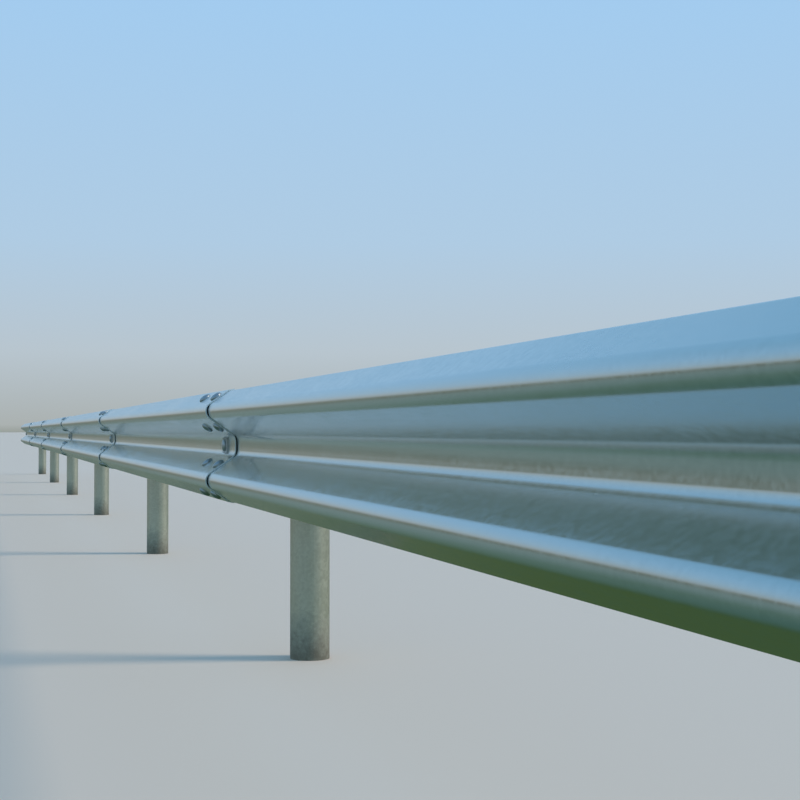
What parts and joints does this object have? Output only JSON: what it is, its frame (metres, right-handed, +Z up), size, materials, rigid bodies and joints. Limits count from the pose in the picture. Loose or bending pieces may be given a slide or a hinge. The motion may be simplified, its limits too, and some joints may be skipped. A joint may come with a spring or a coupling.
{
  "type": "two-wave roadside guard rail",
  "caption": "Galvanised steel guard rail: lapped W-profile beams bolted through six-sided spacer blocks to capped round pipe posts standing in the ground.",
  "frame": {"origin": "on the ground at the axis of the middle post", "axes": "+X along the rail, traffic on the -Y side, +Z up"},
  "size_m": [24.3201, 0.3856, 0.77],
  "materials": {
    "beam_zinc": "hot-dip galvanised, smooth satin",
    "post_zinc": "hot-dip galvanised, dulled",
    "block_zinc": "hot-dip galvanised, dulled",
    "cap_zinc": "pressed sheet, galvanised"
  },
  "bodies": {
    "root": {"beam_1": "beam_zinc", "beam_2": "beam_zinc", "beam_3": "beam_zinc", "beam_4": "beam_zinc", "beam_5": "beam_zinc", "beam_6": "beam_zinc", "post_1": "post_zinc", "post_2": "post_zinc", "post_3": "post_zinc", "post_4": "post_zinc", "post_5": "post_zinc", "post_6": "post_zinc", "post_7": "post_zinc", "block_1": "block_zinc", "block_2": "block_zinc", "block_3": "block_zinc", "block_4": "block_zinc", "block_5": "block_zinc", "block_6": "block_zinc", "block_7": "block_zinc", "post_cap_1": "cap_zinc", "post_cap_2": "cap_zinc", "post_cap_3": "cap_zinc", "post_cap_4": "cap_zinc", "post_cap_5": "cap_zinc", "post_cap_6": "cap_zinc", "post_cap_7": "cap_zinc"}
  },
  "joints": []
}
